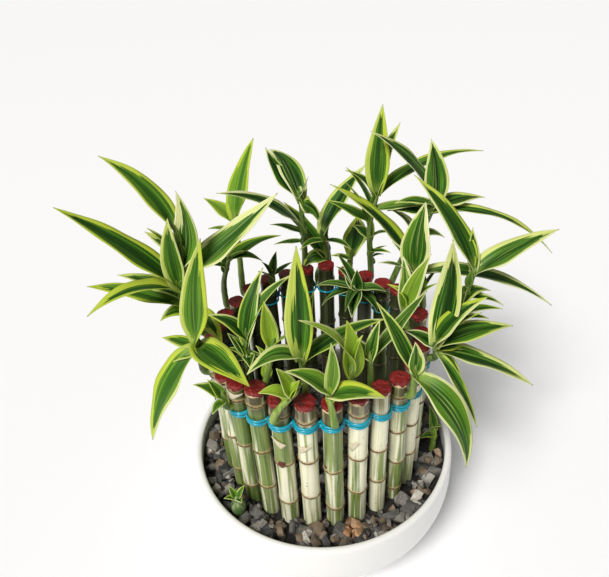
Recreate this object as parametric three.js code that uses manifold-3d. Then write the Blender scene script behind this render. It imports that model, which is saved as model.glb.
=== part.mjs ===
// Lucky bamboo: a ring of twenty-eight cut canes standing in gravel in a low round bowl.
// Units are millimetres, +Z is up, and the origin is the middle of the bowl's flat foot.
import * as THREE from 'three';
import { mergeVertices } from 'three/addons/utils/BufferGeometryUtils.js';
import Module from 'manifold-3d';

const wasm = await Module();
wasm.setup();

// Clearance between pieces that touch on the real thing
const GAP = 0.3;

// Bowl
const BOWL_HEIGHT = 70;
const BOWL_RADIUS = 100;
const BELLY_HEIGHT = 48;
const BELLY_CENTRE = BOWL_RADIUS - BELLY_HEIGHT;
const WALL = 4.8;
const FOOT_RADIUS = 56;
const RIM_OUTER = 98.9;
const RIM_INNER = 94;
const FLOOR_THICKNESS = 5;
const BOWL_SIDES = 36;

// Gravel
const BED_TOP = 60.5;
const STONE_SIZE = 8;
const STONE_SPACING = 17;
const STONE_RINGS = [16, 45, 86];
const STONE_LEVEL = 60;

// Canes
const CANE_COUNT = 28;
const RING_RADIUS = 71;
const RING_CENTRE_Y = 5;
const FIRST_BEARING = -98.9;
const CANE_FOOT = 24;
const CANE_SIDES = 7;
const NODE_SWELL = 0.6;
const NODE_SLOPE = 1.6;
const CAP_ROUND = 1.2;

// Each cane: height of its top, radius, and heights of its node rings
const CANES = [
  [175, 6.3, 89, 126],
  [173, 6.2, 76, 116],
  [175, 6.3, 89, 123],
  [174, 5.9, 90, 121],
  [171.5, 6.1, 98, 128],
  [172, 5.8, 90, 120],
  [174, 5.7, 89, 125],
  [171, 6.0, 80, 118],
  [175, 6.2, 95, 129],
  [173, 5.9, 84, 122],
  [175, 6.1, 76, 112],
  [172, 6.3, 92, 127],
  [173, 5.8, 81, 119],
  [173, 6.0, 97, 130],
  [177, 6.2, 85, 121],
  [174, 5.9, 74, 110],
  [172, 6.1, 90, 128],
  [173, 6.0, 82, 117],
  [171, 6.2, 95, 129],
  [169, 5.8, 78, 113],
  [168, 6.1, 87, 124],
  [170, 6.0, 96, 130],
  [172, 6.2, 80, 116],
  [169, 5.8, 93, 128],
  [167, 6.0, 77, 113],
  [173, 6.1, 75, 118],
  [177, 6.3, 88, 124],
  [174, 6.4, 80, 120],
];

// Tie: a flat band of wire looped round every cane
const TIE_HEIGHT = 157;
const TIE_SAG = 0.0026;
const TIE_WIRE = 1.3;
const TIE_BAND = 4;
const TIE_SIDES = 6;

// Shoots
const STEM_SIDES = 5;
const STEM_FOOT_RADIUS = 2.9;
const STEM_CROWN_RADIUS = 1.7;
const BUD_LENGTH = 8;
const BLADE_THICKNESS = 0.8;
const BLADE_FOOT_SHARE = 0.16;
const BLADE_WIDEST = 0.38;
const BLADE_FOLD = 0.22;
const BLADE_FOOT_FOLD = 0.45;
const BLADE_STATIONS = [
  [0, 0.4, 1],
  [0, 0.3, 0.68, 1],
  [0, 0.2, 0.42, 0.74, 1],
];
const MIDDLE_LEAF = 32;
const LONG_LEAF = 64;
const TIP_HALF_WIDTH = 0.4;

// Each shoot: the cane it grows from, the side of the cane (1 outer, -1 inner), the height it
// leaves the cane, and the points its stem passes through.
// Each leaf: height of its foot on the stem, bearing and rise of the line from foot to tip,
// length, width, arch above that line, and roll about it.
const SHOOTS = [
  { cane: 22, side: 1, foot: 161,
    stem: [[-80, 16, 164], [-84, 9, 178], [-88, 10, 206], [-84, 15, 230], [-85, 16, 246]],
    leaves: [
      [203, -150, 9, 61, 18, 13, 0],
      [192, 165, 8, 73, 18, 5, 0],
      [199, 150, 4, 58, 14, 4, 0],
      [206, 170, 40, 93, 20, 6, 0],
      [206, 75, 88, 53, 15, 2, 10],
      [212, 20, 34, 86, 23, -2, 22],
      [245, 155, 45, 66, 16, 8, 0],
      [228, 150, 26, 31, 11, 0, 0],
      [218, 30, 83, 57, 17, -5, 50],
      [186, -44, -16, 33, 15, 8, 0],
    ] },
  { cane: 24, side: 1, foot: 158, stem: [[-77.5, -18, 162], [-78, -18, 182]],
    leaves: [
      [178, 150, 0, 30, 11, 2, 0],
      [176, -165, -10, 18, 9, 2, 0],
      [180, -140, -49, 69, 25, 7, 0],
      [181, -52, 8, 60, 21, 5, 0],
      [181, 30, 79, 77, 18, 3, 50],
    ] },
  { cane: 19, side: 1, foot: 161, stem: [[-55, 64.7, 166], [-54, 65, 198], [-53, 64, 225]],
    leaves: [
      [222, 140, 24, 34, 13, 3, 0],
      [225, 50, 64, 60, 19, 2, 0],
      [212, -150, 35, 26, 10, 3, 0],
    ] },
  { cane: 20, side: 1, foot: 159, stem: [[-67, 50.5, 163], [-66, 48, 184], [-60, 43, 205]],
    leaves: [
      [203, -10, 9, 26, 10, 6, 0],
      [205, 25, 12, 43, 14, 4, 0],
      [198, -170, 20, 24, 9, 3, 0],
    ] },
  { cane: 16, side: 1, foot: 163,
    stem: [[-5.5, 85.6, 167], [-5, 81, 190], [-5, 74, 208], [-6, 73, 235]],
    leaves: [
      [196, 175, -3, 24, 6, 2, 0],
      [205, 165, 15, 27, 7, 3, 0],
      [206, 205, 39, 80, 14, 9, -20],
      [232, 112, 20, 62, 18, 9, 0],
      [233, -40, -38, 21, 13, 6, 90],
      [235, 128, 38, 48, 16, -3, 0],
      [236, -15, 71, 20, 7, 0, 0],
    ] },
  { cane: 15, side: 1, foot: 166, stem: [[12.6, 85, 171], [12, 80, 190], [9, 73, 205]],
    leaves: [
      [172, 140, 46, 60, 17, 3, 0],
      [176, 150, 80, 27, 8, 0, 0],
      [205, 42, 40, 62, 19, 4, 0],
    ] },
  { cane: 14, side: 1, foot: 163, stem: [[29.9, 80, 167], [31, 78, 181]],
    leaves: [
      [180, 78, 10, 52, 19, 3, 0],
      [176, -170, 28, 18, 8, 2, 0],
    ] },
  { cane: 13, side: 1, foot: 163, stem: [[46, 72, 167], [44, 67, 194], [43, 62, 218], [48, 66, 239]],
    leaves: [
      [190, -30, 15, 17, 6, 2, 0],
      [218, 160, 26, 36, 11, 2, 0],
      [236, 20, 12, 90, 15, 10, 0],
      [236, 160, 42, 30, 11, 4, 0],
      [238, 40, 65, 52, 14, 2, 0],
      [239, 72, 77, 61, 17, 2, 0],
    ] },
  { cane: 13, side: -1, foot: 162, stem: [[34.5, 55, 166], [31.5, 43, 172]],
    leaves: [
      [172, 165, 5, 31, 11, 4, 0],
      [171, -105, -12, 26, 11, 4, 0],
      [172, -10, 3, 22, 10, 4, 0],
      [172, 130, 47, 20, 9, 1, 0],
    ] },
  { cane: 12, side: 1, foot: 161, stem: [[60, 60, 166], [70, 60, 194], [81, 55, 218], [86, 52, 237]],
    leaves: [
      [226, 160, 2, 30, 15, 3, 0],
      [228, -15, -16, 88, 15, 13, 0],
      [232, 10, 5, 39, 15, 3, 0],
      [234, 172, 5, 27, 10, 4, 0],
      [235, 165, 49, 68, 22, 6, 0],
      [237, 100, 70, 43, 17, 2, 0],
    ] },
  { cane: 11, side: 1, foot: 165, stem: [[70.6, 45, 169], [72, 44, 190]],
    leaves: [
      [189, 165, 47, 87, 19, 8, 0],
    ] },
  { cane: 10, side: 1, foot: 163, stem: [[78, 28.5, 167], [76, 28, 182], [70.5, 27, 197]],
    leaves: [
      [195, -20, -6, 90, 18, 12, 0],
      [197, 60, 78, 51, 21, 3, 0],
    ] },
  { cane: 9, side: -1, foot: 163, stem: [[63, 9.5, 167], [60, 9, 178]],
    leaves: [
      [177, 95, 75, 41, 12, 3, 0],
      [176, 20, 68, 47, 12, 4, 45],
    ] },
  { cane: 8, side: 1, foot: 161, stem: [[80, -7.6, 165], [86, -11, 180], [94, -9, 200], [100, -3, 214]],
    leaves: [
      [186, 15, 72, 24, 11, 0, 0],
      [187, 20, 26, 29, 15, 11, 0],
      [200, -12, -8, 25, 9, 3, 0],
      [213, 5, 29, 58, 19, 4, 0],
      [214, 140, 51, 73, 18, 7, 0],
      [214, 95, 70, 30, 8, 0, 0],
    ] },
  { cane: 7, side: 1, foot: 164, stem: [[75, -26, 168], [72, -32, 181]],
    leaves: [
      [175, -52, -47, 55, 9, 5, 0],
      [173, -18, -14, 63, 19, 4, 0],
      [179, 5, 13, 50, 18, 4, 0],
      [180, 55, 83, 74, 18, -7, 0],
    ] },
  { cane: 5, side: 1, foot: 161, stem: [[54.7, -54.7, 165], [55.5, -52, 179]],
    leaves: [
      [178, 100, 84, 24, 10, 0, 0],
      [178, 132, 52, 50, 11, 3, 0],
      [177, -52, -45, 62, 21, 13, 0],
    ] },
  { cane: 4, side: -1, foot: 163, stem: [[30.3, -48.3, 168], [29, -50, 190]],
    leaves: [
      [189, 150, 40, 22, 10, 2, 0],
      [190, 50, 8, 69, 9, 3, 0],
      [188, 56, 64, 27, 8, 2, 0],
    ] },
  { cane: 3, side: -1, foot: 164, stem: [[17.6, -53.3, 168], [17, -55, 182], [17, -59, 192]],
    leaves: [
      [190, -177, 55.5, 50, 13, 7, 0],
      [182, 120, 85, 41, 14, 2, 0],
      [184, 15, 76, 30, 10, 3, 0],
    ] },
  { cane: 2, side: 1, foot: 163, stem: [[5.5, -75.6, 167], [3, -71, 184]],
    leaves: [
      [183, -25, 20, 35, 15, 5, 0],
      [184, 176, 40, 31, 15, 5, 0],
      [184, 60, 83, 37, 9, -2, 0],
    ] },
  { cane: 1, side: -1, foot: 164, stem: [[-9.5, -55.3, 169], [-11.5, -54, 197]],
    leaves: [
      [196, -155, 10, 34, 14, 9, 0],
      [196, 50, 71, 44, 9, 0, 0],
      [197, 84, 79, 70, 16, 2, 0],
      [194, 24, 11, 58, 14, 5, 0],
    ] },
  { cane: 28, side: 1, foot: 163, stem: [[-29.9, -70, 167], [-26, -71, 176], [-18.5, -69, 183]],
    leaves: [
      [182, -172, 27, 19, 10, 4, 0],
      [183, 150, 68, 21, 13, 1, 0],
      [183, 5, 66, 14, 8, 0, 0],
    ] },
  { cane: 27, side: -1, foot: 165, stem: [[-34.8, -45.4, 170], [-28, -45, 200]],
    leaves: [
      [198, -20, 50, 19, 9, 1, 0],
      [200, 110, 76, 30, 11, 0, 0],
    ] },
  { cane: 26, side: -1, foot: 162, stem: [[-45.3, -36.5, 167], [-44, -32, 197]],
    leaves: [
      [181, -150, 15, 15, 8, 3, 0],
      [183, 140, 40, 20, 8, 2, 0],
      [183, -80, 20, 16, 8, 3, 0],
      [194, 170, 43, 30, 12, 5, 0],
      [192, 30, 47, 53, 9, 9, 10],
      [192, 60, 58, 49, 12, 6, 0],
    ] },
  { cane: 26, side: 1, foot: 156, stem: [[-60, -50, 159], [-60.5, -50, 165]],
    leaves: [
      [164, 175, 38, 22, 10, 3, 0],
    ] },
  { cane: 18, side: -1, foot: 163, stem: [[-30.5, 58.7, 168], [-31, 61, 178]],
    leaves: [
      [176, -160, 45, 15, 7, 1, 0],
      [178, 60, 64, 20, 7, 0, 0],
    ] },
];

// Young plants that stand in the gravel by themselves
const BUD_PLACE = [-63, -58];
const SPROUT_PLACE = [85, -12];
const BUD_HEIGHT = 77;
const SPROUT_HEIGHT = 76;
const PLANT_HOLE_DEPTH = 6;

const MATERIALS = {
  bowl: new THREE.MeshStandardMaterial({ color: 0xf1f0ed, roughness: 0.32, metalness: 0 }),
  gravel: new THREE.MeshStandardMaterial({ color: 0x4b4946, roughness: 0.85, metalness: 0 }),
  cane: new THREE.MeshStandardMaterial({ color: 0xcdd29c, roughness: 0.5, metalness: 0 }),
  tie: new THREE.MeshStandardMaterial({ color: 0x12a5d4, roughness: 0.3, metalness: 0 }),
  leaf: new THREE.MeshStandardMaterial({ color: 0x3c7a32, roughness: 0.4, metalness: 0 }),
};

const radians = THREE.MathUtils.degToRad;

// A small repeatable random draw between 0 and 1
function randomFrom(seed) {
  let state = seed;
  return () => {
    state = (state * 16807) % 2147483647;
    return state / 2147483647;
  };
}

function solidFrom(geometry) {
  const bare = geometry.clone();
  bare.deleteAttribute('normal');
  bare.deleteAttribute('uv');
  const merged = mergeVertices(bare, 1e-4);
  const vertProperties = new Float32Array(merged.attributes.position.array);
  const triVerts = new Uint32Array(merged.index.array);
  return new wasm.Manifold(new wasm.Mesh({ numProp: 3, vertProperties, triVerts }));
}

function geometryFrom(solid) {
  const mesh = solid.getMesh();
  const geometry = new THREE.BufferGeometry();
  geometry.setAttribute('position', new THREE.BufferAttribute(mesh.vertProperties, 3));
  geometry.setIndex(new THREE.BufferAttribute(mesh.triVerts, 1));
  return geometry;
}

function geometryOf(points, faces) {
  const geometry = new THREE.BufferGeometry();
  geometry.setFromPoints(points);
  geometry.setIndex(faces.flat());
  return geometry;
}

// A turned piece: its profile is given as [radius, height] and stands along +Z
function turned(profile, sides, start = 0) {
  const outline = profile.map(([radius, height]) => new THREE.Vector2(radius, height));
  const geometry = new THREE.LatheGeometry(outline, sides, start);
  geometry.rotateX(Math.PI / 2);
  return geometry;
}

// A closed skin over rings of equal count, capped flat at both ends
function lofted(rings) {
  const count = rings[0].length;
  const points = rings.flat();
  const last = points.length - count;
  const faces = [];
  for (let ring = 0; ring < rings.length - 1; ring += 1) {
    for (let side = 0; side < count; side += 1) {
      const a = ring * count + side;
      const b = ring * count + ((side + 1) % count);
      faces.push([a, b, b + count], [a, b + count, a + count]);
    }
  }
  for (let side = 1; side < count - 1; side += 1) {
    faces.push([0, side + 1, side], [last, last + side, last + side + 1]);
  }
  return geometryOf(points, faces);
}

function canePlace(index) {
  const bearing = radians(FIRST_BEARING + (index * 360) / CANE_COUNT);
  const outward = new THREE.Vector3(Math.cos(bearing), Math.sin(bearing), 0);
  const axis = new THREE.Vector3(0, RING_CENTRE_Y, 0).addScaledVector(outward, RING_RADIUS);
  return { bearing, outward, axis };
}

// Bowl

// Points on the rounded belly, from the lower angle to the upper one, measured from straight down
function bellyArc(radius, angles) {
  return angles.map((angle) => [
    BELLY_CENTRE + radius * Math.sin(radians(angle)),
    BELLY_HEIGHT - radius * Math.cos(radians(angle)),
  ]);
}

function bowlGeometry() {
  return turned(
    [
      [0, 0],
      [FOOT_RADIUS, 0],
      ...bellyArc(BELLY_HEIGHT, [14, 40, 65, 90]),
      [RIM_OUTER, BOWL_HEIGHT - 1.8],
      [RIM_OUTER - 1.7, BOWL_HEIGHT],
      [RIM_INNER + 1.3, BOWL_HEIGHT],
      [RIM_INNER, BOWL_HEIGHT - 1.6],
      ...bellyArc(BELLY_HEIGHT - WALL, [90, 65, 40, 12]),
      [0, FLOOR_THICKNESS],
    ],
    BOWL_SIDES,
  );
}

// Gravel

function bedGeometry() {
  return turned(
    [
      [0, FLOOR_THICKNESS + GAP],
      ...bellyArc(BELLY_HEIGHT - WALL - GAP - 0.1, [12, 40, 65, 90]),
      [RIM_INNER - 0.1, BED_TOP],
      [0, BED_TOP],
    ],
    BOWL_SIDES,
  );
}

function stoneSolid(draw, x, y, reach) {
  const stone = new THREE.OctahedronGeometry(1, 0);
  stone.rotateZ(draw() * Math.PI * 2);
  stone.scale(reach * (0.8 + 0.4 * draw()), reach * (0.7 + 0.3 * draw()), reach * (0.55 + 0.3 * draw()));
  stone.rotateX((draw() - 0.5) * 1.2);
  stone.rotateZ(draw() * Math.PI * 2);
  stone.translate(x, y, STONE_LEVEL + draw());
  return solidFrom(stone);
}

// An upright prism of flat sides whose flats lie at the given distance from its middle
function prismSolid(x, y, apothem, bottom, top, sides) {
  const radius = apothem / Math.cos(Math.PI / sides);
  const prism = turned([[0, bottom], [radius, bottom], [radius, top], [0, top]], sides);
  prism.translate(x, y, 0);
  return solidFrom(prism);
}

function gravelGeometry() {
  const draw = randomFrom(4127);
  let bed = solidFrom(bedGeometry());
  for (const ring of STONE_RINGS) {
    const count = Math.round((2 * Math.PI * ring) / STONE_SPACING);
    for (let index = 0; index < count; index += 1) {
      const angle = ((index + 0.6 * draw()) / count) * Math.PI * 2;
      const reach = STONE_SIZE * (0.75 + 0.45 * draw());
      const distance = Math.min(ring + 5 * (draw() - 0.5), RIM_INNER - 1.5 - 1.2 * reach);
      bed = bed.add(stoneSolid(draw, distance * Math.cos(angle), distance * Math.sin(angle), reach));
    }
  }
  const clear = BOWL_HEIGHT + 20;
  for (let index = 0; index < CANE_COUNT; index += 1) {
    const { axis } = canePlace(index);
    const apothem = CANES[index][1] + NODE_SWELL + GAP;
    bed = bed.subtract(prismSolid(axis.x, axis.y, apothem, CANE_FOOT - GAP, clear, CANE_SIDES + 1));
  }
  for (const [x, y] of [BUD_PLACE, SPROUT_PLACE]) {
    bed = bed.subtract(prismSolid(x, y, 6.2, BED_TOP - PLANT_HOLE_DEPTH, clear, 8));
  }
  return geometryFrom(bed);
}

// Canes, each with the wax dip on its cut top

function caneGeometry(index) {
  const [top, radius, ...nodes] = CANES[index];
  const { bearing, axis } = canePlace(index);
  const profile = [[0, CANE_FOOT], [radius, CANE_FOOT]];
  for (const node of nodes) {
    profile.push([radius, node - NODE_SLOPE], [radius + NODE_SWELL, node]);
  }
  profile.push([radius, top - CAP_ROUND], [radius - CAP_ROUND, top], [0, top + 0.3]);
  const cane = turned(profile, CANE_SIDES, bearing + Math.PI / 2);
  cane.translate(axis.x, axis.y, 0);
  return cane;
}

// Tie

function tieGeometry() {
  let tie = null;
  for (let index = 0; index < CANE_COUNT; index += 1) {
    const { bearing, axis } = canePlace(index);
    const height = TIE_HEIGHT - TIE_SAG * axis.x ** 2;
    const snug = CANES[index][1] + NODE_SWELL;
    const inner = snug / Math.cos(Math.PI / TIE_SIDES);
    const outer = (snug + TIE_WIRE) / Math.cos(Math.PI / TIE_SIDES);
    const low = height - TIE_BAND / 2;
    const high = height + TIE_BAND / 2;
    const profile = [[inner, low], [outer, low], [outer, high], [inner, high], [inner, low]];
    const loop = turned(profile, TIE_SIDES, bearing);
    loop.translate(axis.x, axis.y, 0);
    tie = tie ? tie.add(solidFrom(loop)) : solidFrom(loop);
  }
  return geometryFrom(tie);
}

// Shoots

function smooth(value) {
  const held = THREE.MathUtils.clamp(value, 0, 1);
  return held * held * (3 - 2 * held);
}

function halfWidth(t, width) {
  if (t <= BLADE_WIDEST) {
    const share = BLADE_FOOT_SHARE + (1 - BLADE_FOOT_SHARE) * Math.sin((Math.PI / 2) * (t / BLADE_WIDEST));
    return (width / 2) * share;
  }
  const along = (t - BLADE_WIDEST) / (1 - BLADE_WIDEST);
  return Math.max((width / 2) * (1 - along ** 1.5), TIP_HALF_WIDTH);
}

// The six corners of a blade's section at t: left, middle and right on top, then below
function bladeSection(foot, leaf, t) {
  const [, bearing, rise, length, width, arch, roll] = leaf;
  const turn = radians(bearing);
  const tilt = radians(rise);
  const flat = new THREE.Vector3(Math.cos(turn), Math.sin(turn), 0);
  const line = flat.clone().multiplyScalar(Math.cos(tilt)).setZ(Math.sin(tilt));
  const upper = flat.clone().multiplyScalar(-Math.sin(tilt)).setZ(Math.cos(tilt));
  const lift = arch * 4 * t * (1 - t);
  const middle = foot.clone().addScaledVector(line, length * t).addScaledVector(upper, lift);
  const along = line.clone().multiplyScalar(length).addScaledVector(upper, arch * (4 - 8 * t)).normalize();
  const side = new THREE.Vector3().crossVectors(line, upper);
  side.applyAxisAngle(along, radians(roll) * smooth(t / 0.4));
  const face = new THREE.Vector3().crossVectors(side, along);
  const half = halfWidth(t, width);
  const fold = THREE.MathUtils.lerp(BLADE_FOOT_FOLD, BLADE_FOLD, smooth(t / 0.4)) * half;
  const corner = (across, up) => middle.clone().addScaledVector(side, across).addScaledVector(face, up);
  const thick = BLADE_THICKNESS / 2;
  return [
    corner(-half, fold + thick),
    corner(0, thick),
    corner(half, fold + thick),
    corner(half, fold - thick),
    corner(0, -thick),
    corner(-half, fold - thick),
  ];
}

// A leaf blade: upper and lower faces are split along the same lines, so they never cross
function bladeGeometry(foot, leaf) {
  const stations = BLADE_STATIONS[(leaf[3] >= MIDDLE_LEAF) + (leaf[3] >= LONG_LEAF)];
  const points = stations.flatMap((t) => bladeSection(foot, leaf, t));
  const faces = [[0, 5, 4], [0, 4, 1], [1, 4, 3], [1, 3, 2]];
  for (let a = 0; a < points.length - 6; a += 6) {
    const b = a + 6;
    faces.push([a, a + 1, b + 1], [a, b + 1, b], [a + 1, a + 2, b + 1], [a + 2, b + 2, b + 1]);
    faces.push([a + 5, b + 4, a + 4], [a + 5, b + 5, b + 4], [a + 4, b + 4, a + 3], [a + 3, b + 4, b + 3]);
    faces.push([a + 2, a + 3, b + 3], [a + 2, b + 3, b + 2], [a, b + 5, a + 5], [a, b, b + 5]);
  }
  const e = points.length - 6;
  faces.push([e, e + 4, e + 5], [e, e + 1, e + 4], [e + 1, e + 3, e + 4], [e + 1, e + 2, e + 3]);
  return geometryOf(points, faces);
}

// A ring of points round a stem, square to the way it runs; its first point lies across
function stemRing(centre, way, across, radius) {
  const other = new THREE.Vector3().crossVectors(way, across);
  return Array.from({ length: STEM_SIDES }, (_, side) => {
    const angle = (side / STEM_SIDES) * Math.PI * 2;
    const point = centre.clone().addScaledVector(across, radius * Math.cos(angle));
    return point.addScaledVector(other, radius * Math.sin(angle));
  });
}

// Each ring keeps the way across of the one before it, so the stem never twists
function stemGeometry(points, firstWay) {
  const crown = points.length - 1;
  const budWay = points[crown].clone().sub(points[crown - 1]).normalize();
  const spine = [...points, points[crown].clone().addScaledVector(budWay, BUD_LENGTH)];
  const across = new THREE.Vector3(-firstWay.y, firstWay.x, 0);
  if (across.lengthSq() < 0.5) across.set(0, 1, 0);
  const rings = spine.map((point, index) => {
    const before = spine[Math.max(index - 1, 0)];
    const after = spine[Math.min(index + 1, spine.length - 1)];
    const way = index === 0 ? firstWay : after.clone().sub(before).normalize();
    across.addScaledVector(way, -across.dot(way)).normalize();
    const share = Math.min(index / crown, 1);
    const radius = THREE.MathUtils.lerp(STEM_FOOT_RADIUS, STEM_CROWN_RADIUS, share);
    return stemRing(point, way, across, index > crown ? TIP_HALF_WIDTH : radius);
  });
  return lofted(rings);
}

// The point of a stem at a given height
function stemPoint(points, height) {
  const next = points.findIndex((point, index) => index > 0 && point.z >= height);
  const upper = next < 0 ? points.length - 1 : next;
  const share = (height - points[upper - 1].z) / (points[upper].z - points[upper - 1].z);
  return points[upper - 1].clone().lerp(points[upper], Math.min(share, 1));
}

function shootGeometry(shoot) {
  const { outward, axis } = canePlace(shoot.cane - 1);
  const way = outward.clone().multiplyScalar(shoot.side);
  const flat = shoot.side > 0 ? 1 : Math.cos(Math.PI / CANE_SIDES);
  const reach = (CANES[shoot.cane - 1][1] + NODE_SWELL / 2) * flat + GAP;
  const seat = axis.clone().addScaledVector(way, reach);
  seat.setZ(shoot.foot);
  const points = [seat, ...shoot.stem.map((place) => new THREE.Vector3(...place))];
  let solid = solidFrom(stemGeometry(points, way));
  for (const leaf of shoot.leaves) {
    solid = solid.add(solidFrom(bladeGeometry(stemPoint(points, leaf[0]), leaf)));
  }
  return geometryFrom(solid);
}

// Young plants in the gravel

// A pear-shaped bud with a tuft of small leaves on top
function budGeometry() {
  const [x, y] = BUD_PLACE;
  const foot = BED_TOP - PLANT_HOLE_DEPTH + GAP;
  const pear = turned([[0, foot], [3.2, foot], [5, 64], [4.6, 68], [2, BUD_HEIGHT - 3], [0, BUD_HEIGHT]], 8);
  pear.translate(x, y, 0);
  const crown = new THREE.Vector3(x, y, BUD_HEIGHT - 4);
  let solid = solidFrom(pear);
  for (const bearing of [-160, -60, 50, 130]) {
    solid = solid.add(solidFrom(bladeGeometry(crown, [0, bearing, 38, 11, 5, 1, 0])));
  }
  return geometryFrom(solid);
}

// A short leafy sprout between the canes and the rim
function sproutGeometry() {
  const [x, y] = SPROUT_PLACE;
  const points = [
    new THREE.Vector3(x, y, BED_TOP - PLANT_HOLE_DEPTH + GAP),
    new THREE.Vector3(x, y, BED_TOP + 4),
    new THREE.Vector3(x - 1, y + 1, SPROUT_HEIGHT),
  ];
  let solid = solidFrom(stemGeometry(points, new THREE.Vector3(0, 0, 1)));
  for (const [height, bearing, rise, length] of [[70, -150, 30, 16], [73, 95, 55, 22], [75, -70, 60, 18]]) {
    const blade = bladeGeometry(stemPoint(points, height), [0, bearing, rise, length, 7, 2, 0]);
    solid = solid.add(solidFrom(blade));
  }
  return geometryFrom(solid);
}

const group = new THREE.Group();

function addPiece(name, geometry, material) {
  const piece = new THREE.Mesh(geometry, material);
  piece.name = name;
  group.add(piece);
}

addPiece('bowl', bowlGeometry(), MATERIALS.bowl);
addPiece('gravel', gravelGeometry(), MATERIALS.gravel);
for (let index = 0; index < CANE_COUNT; index += 1) {
  addPiece(`cane_${String(index + 1).padStart(2, '0')}`, caneGeometry(index), MATERIALS.cane);
}
addPiece('tie', tieGeometry(), MATERIALS.tie);
for (const shoot of SHOOTS) {
  const name = `shoot_${String(shoot.cane).padStart(2, '0')}_${shoot.side > 0 ? 'outer' : 'inner'}`;
  addPiece(name, shootGeometry(shoot), MATERIALS.leaf);
}
addPiece('bud_in_gravel', budGeometry(), MATERIALS.leaf);
addPiece('sprout_in_gravel', sproutGeometry(), MATERIALS.leaf);

export default group;
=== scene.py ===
import math
import random

import bmesh
import bpy
from mathutils import Matrix, Quaternion, Vector, noise


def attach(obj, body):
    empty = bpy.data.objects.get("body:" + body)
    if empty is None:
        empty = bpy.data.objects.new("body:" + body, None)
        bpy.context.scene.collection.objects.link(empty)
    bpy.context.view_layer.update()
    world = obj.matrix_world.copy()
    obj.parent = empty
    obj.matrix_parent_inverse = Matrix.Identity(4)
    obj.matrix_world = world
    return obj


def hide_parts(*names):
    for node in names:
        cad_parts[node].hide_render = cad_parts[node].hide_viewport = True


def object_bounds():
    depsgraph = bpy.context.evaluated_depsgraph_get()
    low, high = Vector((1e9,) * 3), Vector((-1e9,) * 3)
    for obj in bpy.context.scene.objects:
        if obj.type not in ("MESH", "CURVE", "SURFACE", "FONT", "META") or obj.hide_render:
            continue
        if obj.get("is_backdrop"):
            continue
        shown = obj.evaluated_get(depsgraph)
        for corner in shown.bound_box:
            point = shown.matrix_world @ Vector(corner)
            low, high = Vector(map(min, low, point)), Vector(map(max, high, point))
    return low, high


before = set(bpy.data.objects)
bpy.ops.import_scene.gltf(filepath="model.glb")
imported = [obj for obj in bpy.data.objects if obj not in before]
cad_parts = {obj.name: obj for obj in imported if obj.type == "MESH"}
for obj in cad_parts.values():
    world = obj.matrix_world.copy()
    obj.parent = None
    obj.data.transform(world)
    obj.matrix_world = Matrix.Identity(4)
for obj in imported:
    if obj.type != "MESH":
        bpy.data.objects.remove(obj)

cad_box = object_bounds()
MM = 0.001


# Camera. It looks down on the front of the bowl from a little above the leaves, turned by a few
# degrees, as the photograph does.
CAMERA_PLACE = (-7, -292, 418)
CAMERA_PITCH = 35.6
CAMERA_ROLL = -3.49
CAMERA_FOCUS = 560
PHOTO_WIDTH = 609
SENSOR_WIDTH = 36

camera_data = bpy.data.cameras.new("camera")
camera_data.sensor_fit = "HORIZONTAL"
camera_data.sensor_width = SENSOR_WIDTH
camera_data.lens = CAMERA_FOCUS / PHOTO_WIDTH * SENSOR_WIDTH
camera_data.clip_start = 0.01
camera = bpy.data.objects.new("camera", camera_data)
bpy.context.collection.objects.link(camera)
pitch = math.radians(CAMERA_PITCH)
roll = math.radians(CAMERA_ROLL)
look = Vector((0, math.cos(pitch), -math.sin(pitch)))
right = Vector((1, 0, 0))
up = right.cross(look)
across = right * math.cos(roll) + up * math.sin(roll)
above = up * math.cos(roll) - right * math.sin(roll)
turned = Matrix((across, above, -look)).transposed().to_4x4()
camera.matrix_world = Matrix.Translation(Vector(CAMERA_PLACE) * MM) @ turned
bpy.context.scene.camera = camera


# Bowl. A low round bowl with a flat foot, a rounded belly and a soft rim, cast in stoneware and
# dipped in a white satin glaze that pools slightly and shows faint unevenness in the light.
BOWL_HEIGHT = 70
BELLY_HEIGHT = 48
BELLY_CENTRE = 52
WALL = 4.8
FOOT_RADIUS = 56
RIM_OUTER = 98.9
RIM_INNER = 94
SHOULDER = (99.6, 60)
FLOOR_THICKNESS = 5
BOWL_SIDES = 128
GLAZE = (0.83, 0.82, 0.8)


def set_inputs(made, values):
    """Sets a node's inputs to plain values, or links other nodes to them."""
    for name, value in values.items():
        socket = made.inputs[name]
        if hasattr(value, "links"):
            socket.id_data.links.new(value, socket)
        elif hasattr(socket.default_value, "__len__") and len(socket.default_value) == 4:
            socket.default_value = (*value, 1)[:4]
        else:
            socket.default_value = value


def put(tree, kind, settings=None, **values):
    """Adds a shader node, with its settings and what feeds each input by name or by number."""
    made = tree.nodes.new("ShaderNode" + kind)
    for name, value in (settings or {}).items():
        setattr(made, name, value)
    for name, value in values.items():
        numbered = name[0] == "i" and name[1:].isdigit()
        set_inputs(made, {int(name[1:]) if numbered else name.replace("_", " "): value})
    return made


def home(*values):
    """The node tree that these values belong to."""
    return next(value.id_data for value in values if hasattr(value, "links"))


def maths(operation, first, second=0.0, third=0.0):
    tree = home(first, second, third)
    return put(tree, "Math", {"operation": operation}, i0=first, i1=second, i2=third).outputs[0]


def plus(first, second):
    return maths("ADD", first, second)


def less(first, second):
    return maths("SUBTRACT", first, second)


def times(first, second):
    return maths("MULTIPLY", first, second)


def scaled(value, factor, start):
    """The value times a factor, plus a start."""
    return maths("MULTIPLY_ADD", value, factor, start)


def blended(share, first, second):
    """The first colour where the share is 0, the second where it is 1."""
    made = put(home(share, first, second), "Mix", {"data_type": "RGBA"})
    set_inputs(made, {0: share, 6: first, 7: second})
    return made.outputs[2]


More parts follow.
